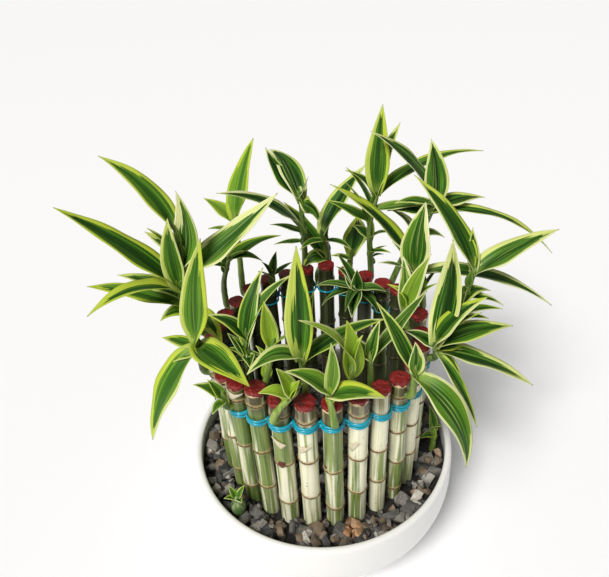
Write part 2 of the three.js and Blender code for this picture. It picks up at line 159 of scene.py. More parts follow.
def tinted(skin, colour, mask, strength):
    """Lays a colour over the skin where the mask shows it, at no more than the given strength."""
    return blended(times(mask, strength), skin, colour)


def rising(value, low, high):
    """0 below low, 1 above high and smooth between, for a value on the surface."""
    made = put(home(value), "MapRange", {"interpolation_type": "SMOOTHSTEP"}, Value=value)
    set_inputs(made, {"From Min": low, "From Max": high})
    return made.outputs["Result"]


def falling(value, low, high):
    """1 below low, 0 above high and smooth between."""
    return less(1, rising(value, low, high))


def mottled(place, scale, detail=3.0):
    """Soft irregular patches, from 0 to 1."""
    return put(home(place), "TexNoise", Vector=place, Scale=scale, Detail=detail).outputs["Fac"]


def bumped(height, depth, strength=1.0):
    """Raises the surface by the height, at most by the depth."""
    return put(home(height), "Bump", Height=height, Distance=depth, Strength=strength).outputs["Normal"]


def effect_group(name, inputs, outputs):
    """A node group for an effect that several finishes share, with its named sockets."""
    group = bpy.data.node_groups.new(name, "ShaderNodeTree")
    for way, sockets in (("INPUT", inputs), ("OUTPUT", outputs)):
        for label, kind in sockets.items():
            group.interface.new_socket(label, in_out=way, socket_type="NodeSocket" + kind)
    return group, group.nodes.new("NodeGroupInput").outputs, group.nodes.new("NodeGroupOutput")


def applied(group, **values):
    """Places an effect's group in a material, with what feeds its inputs."""
    return put(home(*values.values()), "Group", {"node_tree": group}, **values).outputs


# Flecks: small irregular spots, as in a glaze, on bark, on worn wax and on scuffed wire
flecks_group, given, handed = effect_group(
    "flecks", {"Place": "Vector", "Fineness": "Float", "Low": "Float", "High": "Float"}, {"Mask": "Float"}
)
spots = mottled(given["Place"], given["Fineness"])
set_inputs(handed, {"Mask": rising(spots, given["Low"], given["High"])})


def flecked(place, fineness, low, high):
    return applied(flecks_group, Place=place, Fineness=fineness, Low=low, High=high)["Mask"]


def new_material(name, **values):
    """A material with its Principled shader, and the place on the object that its patterns follow."""
    material = bpy.data.materials.new(name)
    material.use_nodes = True
    shader = material.node_tree.nodes["Principled BSDF"]
    set_inputs(shader, {label.replace("_", " "): value for label, value in values.items()})
    return material, shader, put(material.node_tree, "TexCoord").outputs["Object"]


def finished(shader, colour, relief, roughness):
    """Hands a material its colour, its relief and how rough it is."""
    set_inputs(shader, {"Base Color": colour, "Normal": relief, "Roughness": roughness})


def spun(bm, profile, steps, layer=None, marks=None):
    """Turns a profile of [radius, height] in mm once round the Z axis."""
    chain = []
    for index, (radius, height) in enumerate(profile):
        corner = bm.verts.new((radius * MM, 0, height * MM))
        if layer is not None:
            corner[layer] = marks[index]
        chain.append(corner)
    edges = [bm.edges.new(pair) for pair in zip(chain, chain[1:])]
    bmesh.ops.spin(
        bm, geom=chain + edges, cent=(0, 0, 0), axis=(0, 0, 1), angle=math.tau, steps=steps, use_merge=True
    )
    bmesh.ops.remove_doubles(bm, verts=bm.verts[:], dist=1e-6)
    bmesh.ops.recalc_face_normals(bm, faces=bm.faces[:])


def meshed(bm, name, smooth=True):
    """Ends the modelling of a shape: its bmesh becomes a mesh."""
    mesh = bpy.data.meshes.new(name)
    bm.to_mesh(mesh)
    bm.free()
    if smooth:
        mesh.shade_smooth()
    return mesh


def fitted(name, shape, materials, replaced):
    """Dresses a bmesh, a mesh or a curve and puts it in the place of its CAD node."""
    if isinstance(shape, bmesh.types.BMesh):
        shape = meshed(shape, name)
    piece = bpy.data.objects.new(name, shape)
    bpy.context.collection.objects.link(piece)
    for material in materials:
        shape.materials.append(material)
    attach(piece, "root")
    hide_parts(replaced)


def belly(radius, first, last, count):
    """Points on the rounded belly between two angles, measured from straight down."""
    turns = [math.radians(first + (last - first) * step / count) for step in range(count + 1)]
    return [(BELLY_CENTRE + radius * math.sin(a), BELLY_HEIGHT - radius * math.cos(a)) for a in turns]


def rounded_rim(count):
    """The rim's top, a half round between the outer and the inner wall."""
    middle = (RIM_OUTER + RIM_INNER) / 2
    half = (RIM_OUTER - RIM_INNER) / 2
    turns = [math.pi * step / count for step in range(count + 1)]
    return [(middle + half * math.cos(a), BOWL_HEIGHT - half * 0.8 * (1 - math.sin(a))) for a in turns]


glaze, shader, place = new_material("white_glaze", Coat_Weight=0.35, Coat_Roughness=0.12)
pools = mottled(place, 14)
flecks = flecked(place, 900, 0.71, 0.76)
white = blended(pools, GLAZE, tuple(0.96 * c for c in GLAZE))
speckled = tinted(white, (0.45, 0.42, 0.38), flecks, 0.12)
ripple = plus(mottled(place, 45), times(mottled(place, 700), 0.06))
finished(shader, speckled, bumped(ripple, 0.0006, 0.35), scaled(pools, 0.12, 0.26))

bowl = bmesh.new()
spun(
    bowl,
    [(0, 0), (FOOT_RADIUS - 1, 0), (FOOT_RADIUS, 0.4)]
    + belly(BELLY_HEIGHT, 9, 90, 22)
    + [SHOULDER]
    + rounded_rim(10)
    + belly(BELLY_HEIGHT - WALL, 90, 10, 14)
    + [(0, FLOOR_THICKNESS)],
    BOWL_SIDES,
)
fitted("glazed_bowl", bowl, [glaze], "bowl")


# Gravel. Crushed dark stone that fills the bowl and holds the canes upright, angular and of mixed
# sizes, mostly charcoal grey with paler grey, tan and brown stones among it.
BED_LEVEL = 55.5
BED_SIDES = 64
BED_TONE = (0.02, 0.02, 0.02)
STONE_KINDS = 14
STONE_CUTS = 9
STONE_WEAR = 0.09
STONE_COUNT = 1150
STONE_REACH = (2.1, 6.2)
STONE_TONES = [
    ((0.028, 0.028, 0.029), 5),
    ((0.095, 0.090, 0.082), 6),
    ((0.24, 0.22, 0.195), 6),
    ((0.50, 0.47, 0.41), 3),
    ((0.16, 0.115, 0.07), 4),
    ((0.40, 0.27, 0.16), 0.8),
]
# Heights over which the stones' painted shade fades, from near the bed up to the stones' tops
GAP_SHADE_LEVELS = (BED_LEVEL + 2.2, BED_LEVEL + 6.2)
ROOTY_PATCH = (18, -76)
ROOTY_REACH = 7
ROOTY_TONES = [(0.30, 0.14, 0.055), (0.18, 0.085, 0.04), (0.42, 0.24, 0.12)]

# The canes' ring and the two young plants, which the stones leave room for
CANE_COUNT = 28
CANE_ROOM = 6.0
RING_RADIUS = 71
RING_CENTRE_Y = 5
FIRST_BEARING = -98.9
YOUNG_PLANTS = [(-63, -58), (85, -12)]
PLANT_ROOM = 3.5


def carried(material, name):
    """What the mesh itself carries under a name, for its finish to read."""
    return put(material.node_tree, "Attribute", {"attribute_name": name}).outputs


def parted(value):
    """The parts X, Y and Z of a value."""
    return put(home(value), "SeparateXYZ", Vector=value).outputs


def level_way(bearing):
    """A way along the ground."""
    return Vector((math.cos(bearing), math.sin(bearing), 0))


def cane_place(index):
    """Bearing, outward way and axis of a cane, numbered from 0 at the front."""
    bearing = math.radians(FIRST_BEARING + index * 360 / CANE_COUNT)
    outward = level_way(bearing)
    return bearing, outward, Vector((0, RING_CENTRE_Y, 0)) + outward * RING_RADIUS


def any_way(draw):
    return Vector((draw.gauss(0, 1), draw.gauss(0, 1), draw.gauss(0, 1))).normalized()


def crushed_stone(draw):
    """A block with flat faces broken off it on every side and its edges worn."""
    bm = bmesh.new()
    bmesh.ops.create_cube(bm, size=2)
    for _ in range(STONE_CUTS):
        way = any_way(draw)
        everything = bm.verts[:] + bm.edges[:] + bm.faces[:]
        cut = bmesh.ops.bisect_plane(
            bm, geom=everything, plane_co=way * draw.uniform(0.75, 1.05), plane_no=way, clear_outer=True
        )
        edges = [part for part in cut["geom_cut"] if isinstance(part, bmesh.types.BMEdge)]
        if edges:
            bmesh.ops.contextual_create(bm, geom=edges)
    bmesh.ops.dissolve_limit(bm, angle_limit=0.1, verts=bm.verts[:], edges=bm.edges[:])
    edges = bm.edges[:]
    bmesh.ops.bevel(
        bm, geom=edges, offset=STONE_WEAR, segments=1, profile=0.5, affect="EDGES", material=-1,
        clamp_overlap=True,
    )
    bmesh.ops.triangulate(bm, faces=bm.faces[:])
    bmesh.ops.recalc_face_normals(bm, faces=bm.faces[:])
    return meshed(bm, "crushed_stone", smooth=False)


stone, shader, place = new_material("crushed_stone")
tone = carried(stone, "tone")["Color"]
grains = mottled(place, 1400, 4)
patches = mottled(place, 260, 3)
dusty = tinted(tone, (0.3, 0.28, 0.25), rising(patches, 0.48, 0.75), 0.35)
grainy = tinted(dusty, (0.02, 0.02, 0.02), rising(grains, 0.4, 0.7), 0.45)
# Painted shade: every stone is darkened almost to black towards its lower part near the bed, for the shade
# in the gaps between the stones
low, high = GAP_SHADE_LEVELS
gap_shade = falling(parted(place)["Z"], low * MM, high * MM)
gap_shaded_stone = tinted(grainy, (0.008, 0.007, 0.006), gap_shade, 0.92)
finished(shader, gap_shaded_stone, bumped(grains, 0.0005, 0.7), scaled(patches, 0.3, 0.5))

draw = random.Random(4127)
stone_kinds = [crushed_stone(draw) for _ in range(STONE_KINDS)]
bed = bmesh.new()
spun(
    bed,
    [(0, FLOOR_THICKNESS + 0.4)]
    + belly(BELLY_HEIGHT - WALL - 0.4, 12, 90, 12)
    + [(RIM_INNER - 0.3, BED_LEVEL), (0, BED_LEVEL)],
    BED_SIDES,
)
bed_mesh = meshed(bed, "gravel_bed", smooth=False)
gravel = bmesh.new()
gravel.from_mesh(bed_mesh)
tones = gravel.verts.layers.float_color.new("tone")
for corner in gravel.verts:
    corner[tones] = (*BED_TONE, 1)
axes = [cane_place(index)[2] for index in range(CANE_COUNT)]
standing = [(axis.x, axis.y, CANE_ROOM) for axis in axes] + [(x, y, PLANT_ROOM) for x, y in YOUNG_PLANTS]
placed = 0
while placed < STONE_COUNT:
    far = math.sqrt(draw.random()) * (RIM_INNER - 3)
    turn = draw.random() * math.tau
    reach = draw.uniform(*STONE_REACH) * draw.uniform(0.8, 1.1)
    far = min(far, RIM_INNER - 0.6 - reach)
    x, y = far * math.cos(turn), far * math.sin(turn)
    if any(math.hypot(x - sx, y - sy) < room + 0.62 * reach for sx, sy, room in standing):
        continue
    size = Vector((1, draw.uniform(0.45, 0.85), draw.uniform(0.3, 0.6))) * reach * MM
    lean = Quaternion(any_way(draw), draw.uniform(0, 1)) @ Quaternion((0, 0, 1), draw.random() * math.tau)
    level = BED_LEVEL + 1.2 + 4.2 * placed / STONE_COUNT + draw.uniform(-0.5, 0.8)
    move = Matrix.LocRotScale(Vector((x, y, level)) * MM, lean, size)
    colour = draw.choices([tone for tone, _ in STONE_TONES], [share for _, share in STONE_TONES])[0]
    shade = draw.uniform(0.65, 1.35)
    if math.hypot(x - ROOTY_PATCH[0], y - ROOTY_PATCH[1]) < ROOTY_REACH:
        colour = draw.choice(ROOTY_TONES)
    before = len(gravel.verts)
    gravel.from_mesh(stone_kinds[placed % STONE_KINDS])
    gravel.verts.ensure_lookup_table()
    fresh = gravel.verts[before:]
    bmesh.ops.transform(gravel, matrix=move, verts=fresh)
    for corner in fresh:
        corner[tones] = (*[c * shade for c in colour], 1)
    placed += 1
fitted("crushed_gravel", meshed(gravel, "crushed_gravel", smooth=False), [stone], "gravel")
for kind in [*stone_kinds, bed_mesh]:
    bpy.data.meshes.remove(kind)


# Canes. Cut lengths of lucky bamboo, pale ivory with upright green streaks, ringed with a tan scar
# at every node, browner near the top, and dipped in red wax over the cut.
CANE_FOOT = 24
CANE_SIDES = 40
CANE_BEND = 0.6
CANE_UNEVENNESS = 0.028
NODE_TILT = 0.5
NODE_REACH = 10
TOP_REACH = 40
WAX_RED = (0.23, 0.005, 0.004)
IVORY = (0.84, 0.82, 0.62)
BARK_GREEN = (0.065, 0.135, 0.018)
SCAR_BROWN = (0.09, 0.045, 0.016)

# Height of the top, radius, heights of the node rings, and how green the bark is from 0 to 1
CANES = [
    (175, 6.3, (89, 126, 163), 0.3),
    (173, 6.2, (76, 116), 0.55),
    (175, 6.3, (89, 123, 163), 0.28),
    (174, 5.9, (90, 121), 0.45),
    (171.5, 6.1, (68, 98, 128, 160), 0.5),
    (172, 5.8, (90, 120, 158), 0.35),
    (174, 5.7, (89, 125, 160), 0.45),
    (171, 6.0, (80, 118, 157), 0.5),
    (175, 6.2, (95, 129, 162), 0.58),
    (173, 5.9, (84, 122, 160), 0.68),
    (175, 6.1, (76, 112, 161), 0.58),
    (172, 6.3, (92, 127, 159), 0.68),
    (173, 5.8, (81, 119, 160), 0.58),
    (173, 6.0, (97, 130, 161), 0.63),
    (177, 6.2, (85, 121, 164), 0.58),
    (174, 5.9, (74, 110, 160), 0.68),
    (172, 6.1, (90, 128, 159), 0.58),
    (173, 6.0, (82, 117, 160), 0.63),
    (171, 6.2, (95, 129, 158), 0.58),
    (169, 5.8, (78, 113, 157), 0.68),
    (168, 6.1, (87, 124, 156), 0.58),
    (170, 6.0, (96, 130, 157), 0.58),
    (172, 6.2, (80, 116, 159), 0.63),
    (169, 5.8, (93, 128, 156), 0.68),
    (167, 6.0, (77, 113, 155), 0.6),
    (173, 6.1, (75, 118, 161), 0.6),
    (177, 6.3, (88, 124, 166), 0.55),
    (174, 6.4, (80, 120, 163), 0.45),
]

# Dry buds: the cane, how far round from its outer side, the height and the size. Scraps of old leaf
# sheath: the same, with the way that each one slants in place of its size.
DRY_BUDS = [(28, 5, 121, 3.3), (2, -60, 119, 1.6), (4, 30, 124, 1.5), (26, -20, 121, 1.5)]
SHEATH_SCRAPS = [(1, -8, 140, 38), (3, -45, 137, 55), (28, -5, 142, 130), (26, 35, 166, 20)]
SHEATH_SCRAPS += [(26, -20, 168, 150), (25, 40, 161, 25), (25, -10, 163, 160), (24, 45, 163, 30)]
SCRAP_LENGTH = 11
SCRAP_WIDTH = 4.6
SCRAP_THICKNESS = 0.25

# Lengthwise grain: fibres drawn out along a cane, a bud or a leaf
grain_group, given, handed = effect_group(
    "lengthwise_grain",
    {"Place": "Vector", "Across": "Float", "Along": "Float", "Detail": "Float"},
    {"Grain": "Float"},
)
sizes = put(grain_group, "CombineXYZ", X=given["Across"], Y=given["Across"], Z=given["Along"])
drawn_out = put(grain_group, "VectorMath", {"operation": "MULTIPLY"}, i0=given["Place"])
set_inputs(drawn_out, {1: sizes.outputs[0]})
set_inputs(handed, {"Grain": mottled(drawn_out.outputs[0], 1.0, given["Detail"])})


def grained(place, across, along, detail):
    return applied(grain_group, Place=place, Across=across, Along=along, Detail=detail)["Grain"]


bark, shader, place = new_material(
    "cane_bark", Specular_IOR_Level=0.35, Coat_Weight=0.1, Coat_Roughness=0.3
)

# What the mesh says of the bark: the way to the nearest node, greenness, and the depth below the cut
marks = parted(carried(bark, "bark")["Vector"])
to_node = times(marks["X"], NODE_REACH)
below_top = times(marks["Z"], TOP_REACH)
grain = grained(place, 620, 12, 4)
wide = grained(place, 190, 7, 3)
streaks = plus(times(wide, 0.65), times(grain, 0.35))
limit = less(0.70, times(marks["Y"], 0.42))
green_share = rising(less(streaks, limit), -0.04, 0.08)
ivory = blended(rising(grain, 0.45, 0.8), IVORY, (0.55, 0.52, 0.25))
green = blended(rising(grain, 0.3, 0.7), BARK_GREEN, (0.25, 0.31, 0.085))
skin = blended(green_share, ivory, green)
top_share = times(falling(below_top, 8, 24), rising(streaks, 0.30, 0.50))
top_brown = blended(rising(wide, 0.42, 0.6), (0.17, 0.16, 0.045), (0.055, 0.032, 0.013))
skin = tinted(skin, top_brown, top_share, 0.9)
under_wax = falling(plus(below_top, times(grain, 2)), 3.4, 4.6)
skin = blended(under_wax, skin, (0.66, 0.50, 0.26))
skin = tinted(skin, (0.50, 0.38, 0.18), falling(to_node, 0.7, 2.6), 0.65)
ragged = plus(to_node, scaled(grain, 1.6, -0.8))
skin = tinted(skin, SCAR_BROWN, falling(ragged, 0.2, 0.8), 0.9)
# Painted shade: on the side of each cane that faces the inside of the ring, the bark is darkened to a deep
# green-black, for the shade inside the ring of canes
off_centre = put(home(place), "VectorMath", {"operation": "MULTIPLY_ADD"}, i0=place, i1=(1, 1, 0))
set_inputs(off_centre, {2: (0, -RING_CENTRE_Y * MM, 0)})
far_out = put(home(place), "VectorMath", {"operation": "LENGTH"}, i0=off_centre.outputs[0]).outputs["Value"]
inner_shade_share = falling(far_out, (RING_RADIUS - 4) * MM, (RING_RADIUS + 1.5) * MM)
painted_inner_shade = blended(rising(grain, 0.35, 0.7), (0.009, 0.014, 0.004), (0.035, 0.045, 0.013))
skin = tinted(skin, painted_inner_shade, inner_shade_share, 0.92)
skin = tinted(skin, (0.16, 0.08, 0.03), flecked(place, 420, 0.66, 0.72), 0.55)
finished(shader, skin, bumped(grain, 0.0004, 0.5), scaled(grain, 0.25, 0.28))

wax, shader, place = new_material("red_wax", Coat_Weight=0.2, Coat_Roughness=0.25)
lumps = mottled(place, 420, 4)
worn = flecked(place, 170, 0.5, 0.72)
red = blended(worn, WAX_RED, (0.07, 0.004, 0.005))
chalky = tinted(red, (0.38, 0.05, 0.04), rising(lumps, 0.6, 0.72), 0.2)
finished(shader, chalky, bumped(lumps, 0.002, 0.9), scaled(lumps, 0.3, 0.35))

dry, shader, place = new_material("dry_sheath_and_buds")
papery = blended(grained(place, 500, 200, 3), (0.80, 0.76, 0.60), (0.50, 0.40, 0.22))
scabby = blended(grained(place, 700, 700, 3), (0.17, 0.02, 0.014), (0.05, 0.014, 0.01))
skin = blended(parted(carried(dry, "bark")["Vector"])["X"], papery, scabby)
finished(shader, skin, bumped(grained(place, 600, 300, 3), 0.0006, 0.7), 0.7)


def cane_profile(top, radius, nodes, green, draw):
    """The cane's outline with its node rings, and for each point what the bark shows there."""
    levels = [(CANE_FOOT, 0.0)]
    stops = [CANE_FOOT, *nodes, top]
    for low, high in zip(stops, stops[1:]):
        levels += [(low + (high - low) * share, -0.12) for share in (0.2, 0.4, 0.6, 0.8)]
    for node in nodes:
        levels += [(node - 2.2, 0.05), (node - 1.0, 0.35), (node - 0.35, 0.7), (node, 0.75)]
        levels += [(node + 0.35, 0.25), (node + 0.8, 0.0), (node + 1.9, 0.12)]
    levels += [(top - 0.9, 0.0)]
    levels.sort()
    tints = [min(max(green + draw.uniform(-0.2, 0.2), 0), 1) for _ in stops]
    profile, marks = [(0, CANE_FOOT)], []
    profile += [(radius + swell, height) for height, swell in levels]
    profile += [(radius - 0.7, top - 0.1), (0, top - 0.1)]
    for _, height in profile:
        away = min(abs(height - node) for node in nodes)
        tint = tints[sum(height > node for node in nodes)]
        marks.append(Vector((min(away / NODE_REACH, 1), tint, min((top - height) / TOP_REACH, 1))))
    return profile, marks


def faces_of(corners):
    return list({face for corner in corners for face in corner.link_faces})


def given_finish(faces, number):
    """Gives faces the piece's finish of this number, counted from 0."""
    for face in faces:
        face.material_index = number


def wax_dip(bm, top, radius, seed):
    """A skin of wax over the cut, thick on top and ragged where it ran down the side."""
    fresh = bmesh.ops.create_icosphere(bm, subdivisions=4, radius=1)["verts"]
    for corner in fresh:
        way = corner.co.copy()
        flat = Vector((way.x, way.y))
        rough = noise.noise(Vector((way.x * 2.2, way.y * 2.2, seed)))
        fine = noise.noise(Vector((way.x * 7, way.y * 7, way.z * 5 + seed)))
        spread = min(flat.length * 1.35, 1.0)
        edge = flat.normalized() * spread if flat.length > 1e-6 else flat
        reach = radius + 0.1 + 0.3 * fine - (0.7 if way.z > 0.6 else 0)
        height = top + 0.5 + 0.5 * fine if way.z > 0 else top - 1.6 + 2.6 * rough
        if 0 < way.z <= 0.6:
            height -= 0.9 * (1 - way.z / 0.6)
        corner.co = Vector((edge.x * reach, edge.y * reach, height)) * MM
    given_finish(faces_of(fresh), 1)


def crookedness(height, stops, bends):
    """How far the cane's middle stands off its axis, straight between one node and the next."""
    for low, high, near, far in zip(stops, stops[1:], bends, bends[1:]):
        if height <= high:
            return near.lerp(far, min(max((height - low) / (high - low), 0), 1))
    return bends[-1]


def dry_bud(bm, layer, radius, turn, height, size):
    """A dead bud, a small blunt scab that sits on the bark just above a node."""
    fresh = bmesh.ops.create_icosphere(bm, subdivisions=3, radius=1)["verts"]
    way = level_way(turn)
    side = Vector((-way.y, way.x, 0))
    for corner in fresh:
        ball = corner.co.copy()
        rough = 1 + 0.25 * noise.noise(ball * 1.7 + Vector((height, 0, 0)))
        narrow = 1 - 0.35 * max(-ball.z, 0)
        reach = radius - 0.1 + 0.8 * ball.x * rough
        round_way = ball.y * size * 0.8 * narrow * rough
        corner.co = (way * reach + side * round_way + Vector((0, 0, height + ball.z * size))) * MM
        corner[layer] = (1, 0, 0)
    given_finish(faces_of(fresh), 2)


def thickened(bm, faces, thickness, finish):
    """Gives a sheet its thickness, and the side and the edges that this adds a finish of their own."""
    before = set(bm.faces)
    bmesh.ops.solidify(bm, geom=faces, thickness=thickness * MM)
    given_finish(set(bm.faces) - before, finish)


def sheath_scrap(bm, layer, radius, turn, height, slant):
    """A dried strip of old leaf sheath that clings to the bark, torn to a point at one end."""
    grid = bmesh.ops.create_grid(bm, x_segments=4, y_segments=10, size=0.5)["verts"]
    slope = math.radians(slant)
    for corner in grid:
        s, t = corner.co.x * 2, corner.co.y + 0.5
        half = SCRAP_WIDTH / 2 * (1 - t**1.6) + 0.12
        up = SCRAP_LENGTH * (t - 0.5) * math.sin(slope) + s * half * math.cos(slope)
        round_way = SCRAP_LENGTH * (t - 0.5) * math.cos(slope) - s * half * math.sin(slope)
        angle = turn + round_way / radius
        reach = radius + 0.25 + 0.9 * t**3
        corner.co = Vector((math.cos(angle) * reach, math.sin(angle) * reach, height + up)) * MM
        corner[layer] = (0, 0, 0)
    faces = faces_of(grid)
    bmesh.ops.recalc_face_normals(bm, faces=faces)
    given_finish(faces, 2)
    thickened(bm, faces, SCRAP_THICKNESS, 2)


for index, (top, radius, nodes, green) in enumerate(CANES):
    draw = random.Random(900 + index)
    bearing, outward, axis = cane_place(index)
    cane = bmesh.new()
    marks_layer = cane.verts.layers.float_vector.new("bark")
    profile, marks = cane_profile(top, radius, nodes, green, draw)
    spun(cane, profile, CANE_SIDES, marks_layer, marks)
    phase = draw.random() * math.tau
    for corner in cane.verts:
        turn = math.atan2(corner.co.y, corner.co.x)
        uneven = noise.noise(Vector((math.cos(turn), math.sin(turn), corner.co.z * 45 + index * 9)))
        corner.co.xy *= 1 + CANE_UNEVENNESS * uneven
        if CANE_FOOT + 5 < corner.co.z / MM < top - 6:
            corner.co.z += NODE_TILT * MM * math.sin(turn + phase)
    wax_dip(cane, top, radius, index * 3.7)
    for add, places in ((dry_bud, DRY_BUDS), (sheath_scrap, SHEATH_SCRAPS)):
        for number, turn, height, measure in places:
            if number == index + 1:
                add(cane, marks_layer, radius, math.radians(turn), height, measure)
    stops = [CANE_FOOT, *nodes, top]
    bends = [Vector((draw.uniform(-1, 1), draw.uniform(-1, 1))) * CANE_BEND for _ in nodes]
    bends = [Vector((0, 0)), *bends, Vector((0, 0))]
    for corner in cane.verts:
        corner.co.xy += crookedness(corner.co.z / MM, stops, bends) * MM
    bmesh.ops.rotate(cane, verts=cane.verts[:], cent=(0, 0, 0), matrix=Matrix.Rotation(bearing, 3, "Z"))
    bmesh.ops.translate(cane, verts=cane.verts[:], vec=axis * MM)
    node = f"cane_{index + 1:02d}"
    fitted(f"cut_{node}", cane, [bark, wax, dry], node)


# Tie. Thin blue plastic-coated wire, wound three times round the ring of canes near its top: it lies
# against the outer side of every cane, dips into the gaps, and comes back once along the inner side.
TIE_HEIGHT = 157
TIE_SAG = 0.0026
TIE_WIRE = 0.75
TIE_TURNS = {1: 3, -1: 1}
TIE_SPACING = 1.62
WRAP_ANGLES = (-83, -62, -41, -20, 0, 20, 41, 62, 83)
TIE_BLUE = (0.001, 0.31, 0.42)

coating, shader, place = new_material("blue_coating", Coat_Weight=0.15, Coat_Roughness=0.2)
scuffs = flecked(place, 500, 0.55, 0.75)
blue = tinted(TIE_BLUE, (0.01, 0.42, 0.52), scuffs, 0.5)
set_inputs(shader, {"Base Color": blue, "Roughness": scaled(scuffs, 0.2, 0.22)})

wire = bpy.data.curves.new("tie_wire", "CURVE")
wire.dimensions = "3D"
wire.bevel_depth = TIE_WIRE * MM
wire.bevel_resolution = 2
wire.resolution_u = 1
wire.use_fill_caps = True
draw = random.Random(58)
for side, turns in TIE_TURNS.items():
    for turn in range(turns):
        points = []
        for index in range(CANE_COUNT):
            bearing, outward, axis = cane_place(index)
            level = TIE_HEIGHT - TIE_SAG * axis.x**2 + (turn - 1) * TIE_SPACING + draw.uniform(-0.3, 0.3)
            lean = draw.uniform(-0.6, 0.6)
            reach = CANES[index][1] + TIE_WIRE + 0.15
            for wrap in WRAP_ANGLES:
                angle = bearing + math.radians(wrap if side > 0 else 180 - wrap)
                point = axis + level_way(angle) * reach
                points.append(Vector((point.x, point.y, level + lean * wrap / WRAP_ANGLES[-1])))
        spline = wire.splines.new("POLY")
        spline.points.add(len(points) - 1)
        for knot, point in zip(spline.points, points):
            knot.co = (*(point * MM), 1)
        spline.use_cyclic_u = True
fitted("blue_tie", wire, [coating], "tie")


# Shoots. Leafy side shoots, each a short ringed stem that bends up out of the side of a cane and
# ends in a crown of long pointed leaves, green in the middle with yellow or cream margins.
STEM_SIDES = 12
STEM_FOOT_RADIUS = 2.6
STEM_CROWN_RADIUS = 1.7
SHEATH_SPACING = 8
SCAR_SPACING = 7
SCAR_SWELL = 0.22
BUD_LENGTH = 8
BLADE_THICKNESS = 0.3
BLADE_FOOT_SHARE = 0.34
BLADE_WIDEST = 0.38
BLADE_FOLD = 0.26
BLADE_FOOT_FOLD = 0.85
BLADE_STEPS = 26
BLADE_COLUMNS = 8
WIDEST_MARGIN = 10
FULL_LEAF_WIDTH = 17
DARK_GREEN = (0.006, 0.030, 0.003)
MIDDLE_GREEN = (0.023, 0.096, 0.008)
BRIGHT_GREEN = (0.12, 0.31, 0.024)
YOUNG_GREEN = (0.24, 0.42, 0.030)
LIME = (0.48, 0.56, 0.048)
CREAM = (0.80, 0.80, 0.38)
RIM_CREAM = (0.86, 0.85, 0.62)

